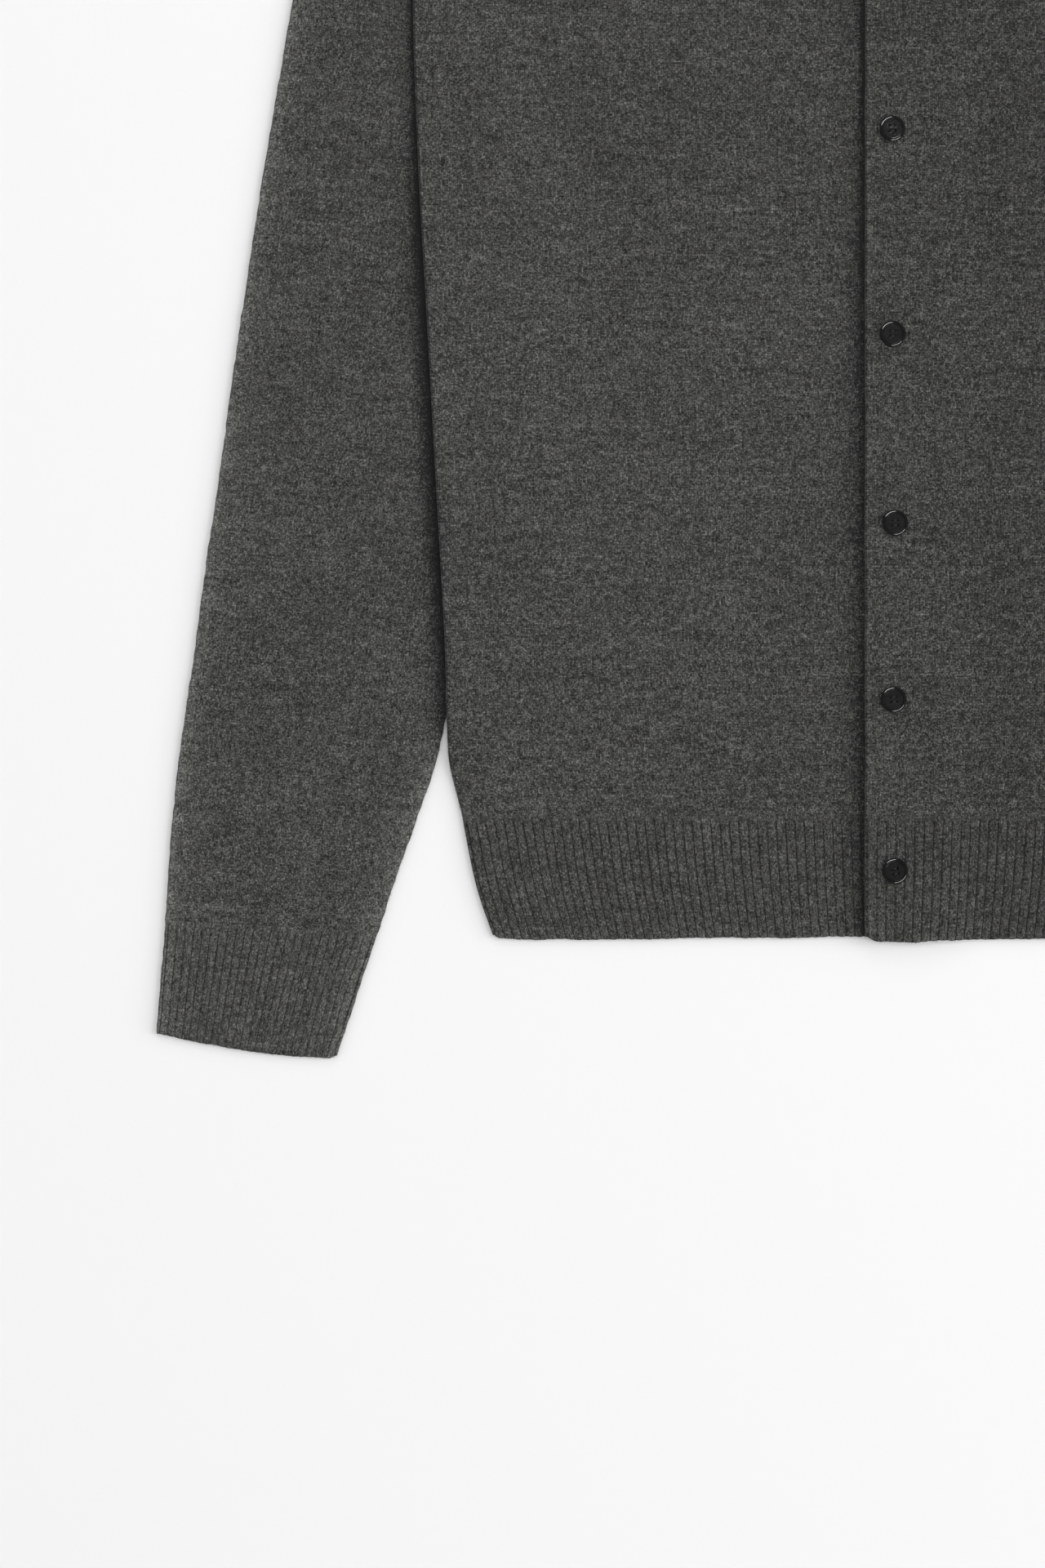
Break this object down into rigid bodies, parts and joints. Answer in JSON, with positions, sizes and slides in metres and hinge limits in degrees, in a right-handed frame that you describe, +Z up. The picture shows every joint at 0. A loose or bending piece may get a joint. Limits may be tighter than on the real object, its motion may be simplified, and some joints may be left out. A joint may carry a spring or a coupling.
{
  "type": "button cardigan",
  "caption": "Fine-knit button cardigan laid flat and fastened, long sleeves down beside the body, with ribbed hem, cuffs and neckband and front edges turned back on themselves.",
  "frame": {"origin": "the middle of the outline, on the surface that the garment lies on", "axes": "+Z up from the surface, +Y from the hem towards the neck, +X towards the wearer's left side"},
  "size_m": [0.766, 0.734, 0.0129],
  "materials": {
    "jersey": "brushed wool jersey, charcoal melange",
    "rib": "wool 2x1 rib, charcoal melange",
    "button": "polished dark horn-like resin"
  },
  "bodies": {
    "root": {"back": "jersey", "front_right": "jersey", "front_left": "jersey", "sleeve_right": "jersey", "sleeve_left": "jersey", "back_hem_rib": "rib", "front_right_hem_rib": "rib", "front_left_hem_rib": "rib", "cuff_right": "rib", "cuff_left": "rib", "neckband": "rib", "button_1": "button", "button_2": "button", "button_3": "button", "button_4": "button", "button_5": "button", "button_6": "button"}
  },
  "joints": []
}
